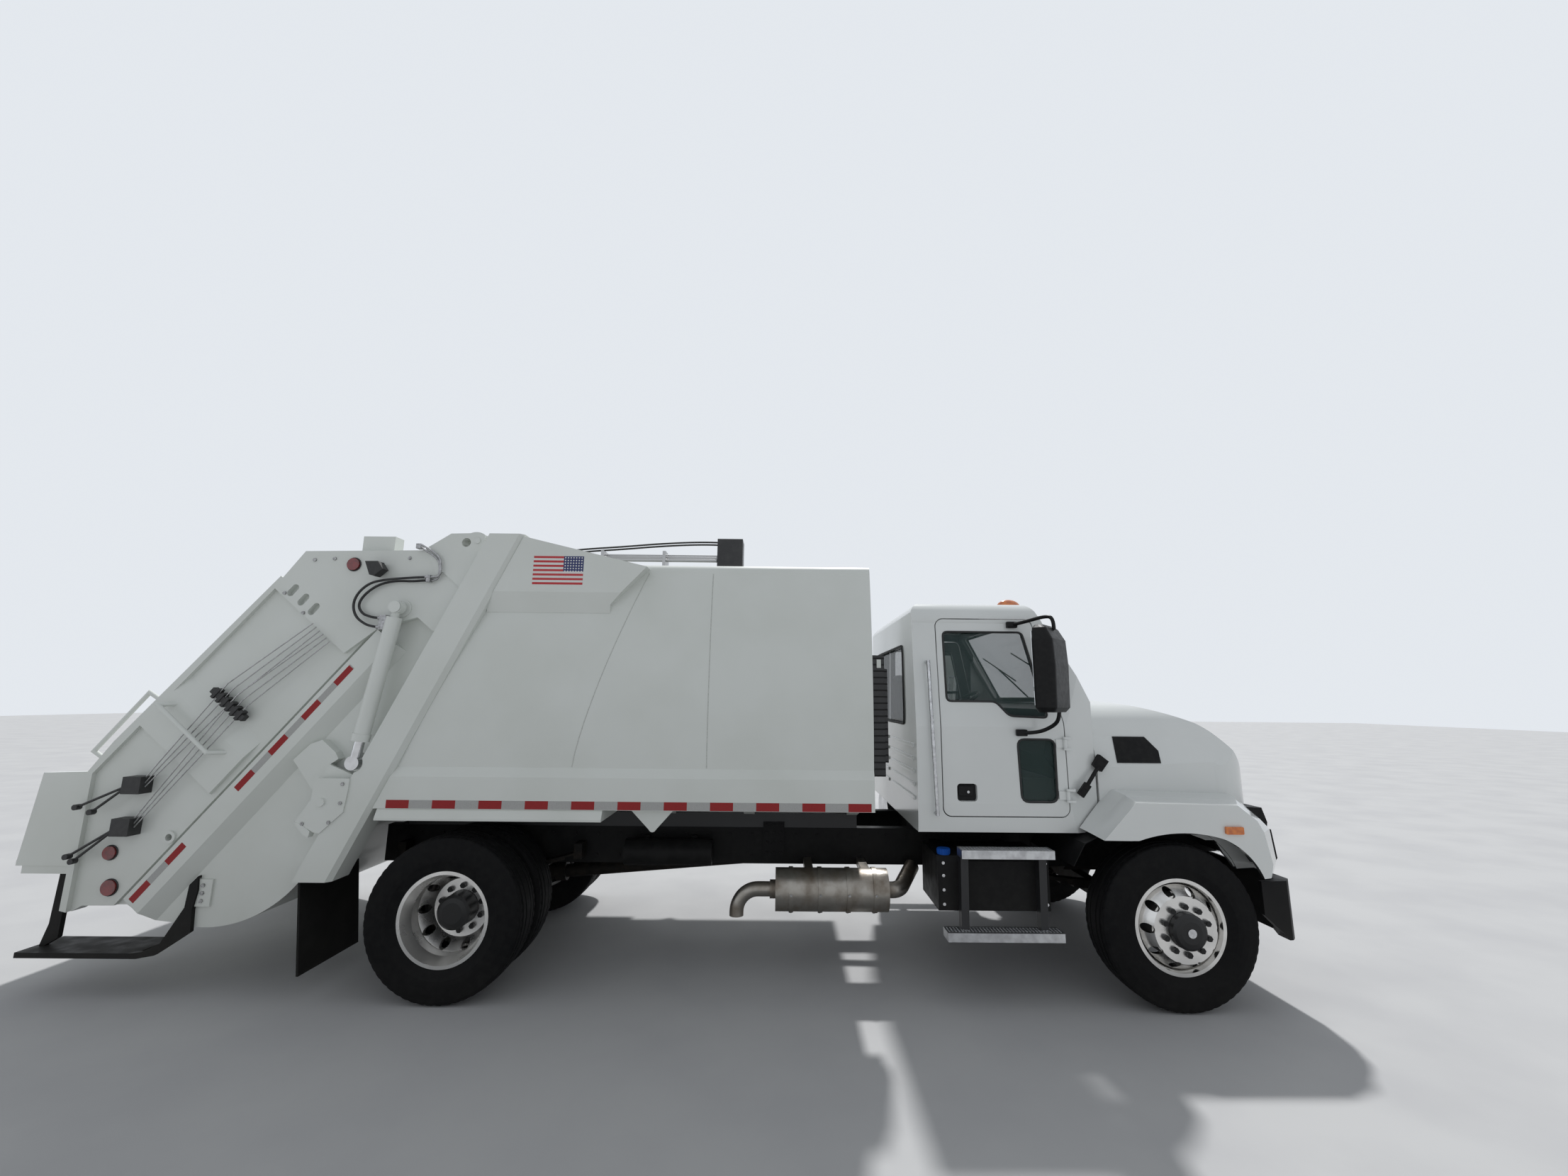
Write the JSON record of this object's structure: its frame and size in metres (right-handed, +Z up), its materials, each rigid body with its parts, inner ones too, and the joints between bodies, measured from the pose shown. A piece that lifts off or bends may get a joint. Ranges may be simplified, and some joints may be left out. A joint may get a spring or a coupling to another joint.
{
  "type": "rear loading garbage truck",
  "caption": "Two-axle bonneted truck with a hollow refuse body, lifting tailgate with packer, tilting hood, doors, steering and turning wheels.",
  "frame": {"origin": "on the ground under the middle of the truck's length and width", "axes": "+X forwards, +Y to the truck's left, +Z up"},
  "size_m": [8.52, 2.84, 3.1638],
  "materials": {
    "white_paint": "satin",
    "black_frame": "satin",
    "rubber": "matte",
    "alloy": "polished",
    "steel": "satin",
    "iron": "matte",
    "black_plastic": "matte",
    "cab_glass": "clear",
    "seat_cloth": "woven",
    "chrome": "polished",
    "flap_rubber": "matte",
    "lamp_glass": "clear",
    "amber_lens": "clear",
    "red_lens": "clear"
  },
  "bodies": {
    "chassis": {"chassis_frame": "black_frame", "front_bumper": "black_frame", "front_axle": "iron", "rear_axle": "iron", "leaf_springs": "iron", "drive_shaft": "steel", "engine_block": "iron", "radiator": "black_frame", "fuel_tank": "alloy", "fluid_tank": "black_plastic", "exhaust": "steel", "cab_steps": "alloy", "cab_shell": "white_paint", "cab_glass": "cab_glass", "cab_seats": "seat_cloth", "dashboard": "black_plastic", "roof_lamps": "amber_lens", "cab_handles": "steel", "body_shell": "white_paint", "roof_box": "white_paint", "stack_panel": "black_plastic", "body_rear_frame": "white_paint", "body_subframe": "white_paint", "mud_flaps": "flap_rubber"},
    "steer_right": {"knuckle_right": "iron"},
    "steer_left": {"knuckle_left": "iron"},
    "front_wheel_right": {"tyre_front_right": "rubber", "wheel_front_right": "alloy"},
    "front_wheel_left": {"tyre_front_left": "rubber", "wheel_front_left": "alloy"},
    "rear_wheels_right": {"tyres_rear_right": "rubber", "wheels_rear_right": "alloy"},
    "rear_wheels_left": {"tyres_rear_left": "rubber", "wheels_rear_left": "alloy"},
    "steering_wheel_body": {"steering_wheel": "black_plastic"},
    "door_right_body": {"door_right": "white_paint", "door_glass_right": "cab_glass", "mirror_right": "black_plastic"},
    "door_left_body": {"door_left": "white_paint", "door_glass_left": "cab_glass", "mirror_left": "black_plastic"},
    "hood_body": {"hood": "white_paint", "hood_trim": "black_plastic", "headlamps": "lamp_glass", "side_markers": "amber_lens"},
    "tailgate": {"tailgate_shell": "white_paint", "riding_steps": "black_frame", "control_levers": "black_frame", "gate_lamps": "red_lens", "work_lamps": "black_plastic", "grab_rails": "white_paint"},
    "lift_barrels": {"lift_cylinder_barrels": "white_paint"},
    "lift_rods": {"lift_cylinder_rods": "chrome"},
    "slide": {"slide_panel": "white_paint"},
    "packer": {"packer_blade": "white_paint"},
    "sweep_barrels": {"sweep_cylinder_barrels": "white_paint"},
    "sweep_rods": {"sweep_cylinder_rods": "chrome"},
    "ejector": {"ejector_panel": "white_paint"}
  },
  "joints": [
    {"name": "steer_right_turn", "type": "hinge", "parent": "chassis", "child": "steer_right", "pos_m": [3.4495, -0.88, 0.512], "axis": [0, 0, 1], "range_deg": [-36, 36]},
    {"name": "steer_left_turn", "type": "hinge", "parent": "chassis", "child": "steer_left", "pos_m": [3.4495, 0.88, 0.512], "axis": [0, 0, 1], "range_deg": [-36, 36]},
    {"name": "front_right_spin", "type": "hinge", "parent": "steer_right", "child": "front_wheel_right", "pos_m": [3.4495, -1.09, 0.512], "axis": [0, 1, 0], "continuous": true},
    {"name": "front_left_spin", "type": "hinge", "parent": "steer_left", "child": "front_wheel_left", "pos_m": [3.4495, 1.09, 0.512], "axis": [0, 1, 0], "continuous": true},
    {"name": "rear_right_spin", "type": "hinge", "parent": "chassis", "child": "rear_wheels_right", "pos_m": [-1.3185, -0.891, 0.512], "axis": [0, 1, 0], "continuous": true},
    {"name": "rear_left_spin", "type": "hinge", "parent": "chassis", "child": "rear_wheels_left", "pos_m": [-1.3185, 0.891, 0.512], "axis": [0, 1, 0], "continuous": true},
    {"name": "steering_wheel_turn", "type": "hinge", "parent": "chassis", "child": "steering_wheel_body", "pos_m": [2.5715, 0.62, 1.9], "axis": [-0.5226, 0, 0.8526], "range_deg": [-648, 648]},
    {"name": "door_right_swing", "type": "hinge", "parent": "chassis", "child": "door_right_body", "pos_m": [2.8415, -1.063, 1.5], "axis": [0, 0, 1], "range_deg": [0, 70]},
    {"name": "door_left_swing", "type": "hinge", "parent": "chassis", "child": "door_left_body", "pos_m": [2.8415, 1.063, 1.5], "axis": [0, 0, -1], "range_deg": [0, 70]},
    {"name": "hood_tilt", "type": "hinge", "parent": "chassis", "child": "hood_body", "pos_m": [4.2395, 0, 0.83], "axis": [0, 1, 0], "range_deg": [0, 70]},
    {"name": "tailgate_lift", "type": "hinge", "parent": "chassis", "child": "tailgate", "pos_m": [-1.3235, 0, 3.031], "axis": [0, 1, 0], "range_deg": [0, 70]},
    {"name": "lift_barrel_swing", "type": "hinge", "parent": "tailgate", "child": "lift_barrels", "pos_m": [-1.8065, 0, 2.538], "axis": [0, -1, 0], "range_deg": [0, 78.42]},
    {"name": "lift_rod_slide", "type": "slide", "parent": "lift_barrels", "child": "lift_rods", "axis": [-0.158, 0, -0.9874], "range_m": [0, 0.7652]},
    {"name": "slide_travel", "type": "slide", "parent": "tailgate", "child": "slide", "axis": [-0.6293, 0, -0.7771], "range_m": [0, 0.8]},
    {"name": "packer_sweep", "type": "hinge", "parent": "slide", "child": "packer", "pos_m": [-2.38704, 0, 1.74272], "axis": [0, 1, 0], "range_deg": [0, 105]},
    {"name": "sweep_barrel_swing", "type": "hinge", "parent": "slide", "child": "sweep_barrels", "pos_m": [-1.90576, 0, 2.5754], "axis": [0, 1, 0], "range_deg": [0, 3.09]},
    {"name": "sweep_rod_slide", "type": "slide", "parent": "sweep_barrels", "child": "sweep_rods", "axis": [0.6186, 0, 0.7857], "range_m": [0, 0.4095]},
    {"name": "ejector_travel", "type": "slide", "parent": "chassis", "child": "ejector", "axis": [-1, 0, 0], "range_m": [0, 2.6]}
  ],
  "couplings": [
    {"joint": "steer_left_turn", "follows": "steer_right_turn", "ratio": 1},
    {"joint": "steering_wheel_turn", "follows": "steer_right_turn", "ratio": 18},
    {"joint": "lift_barrel_swing", "follows": "tailgate_lift", "ratio": 1.1202},
    {"joint": "lift_rod_slide", "follows": "tailgate_lift", "m_per_rad": 0.62625},
    {"joint": "sweep_barrel_swing", "follows": "packer_sweep", "ratio": 0.02937},
    {"joint": "sweep_rod_slide", "follows": "packer_sweep", "m_per_rad": 0.22339}
  ]
}
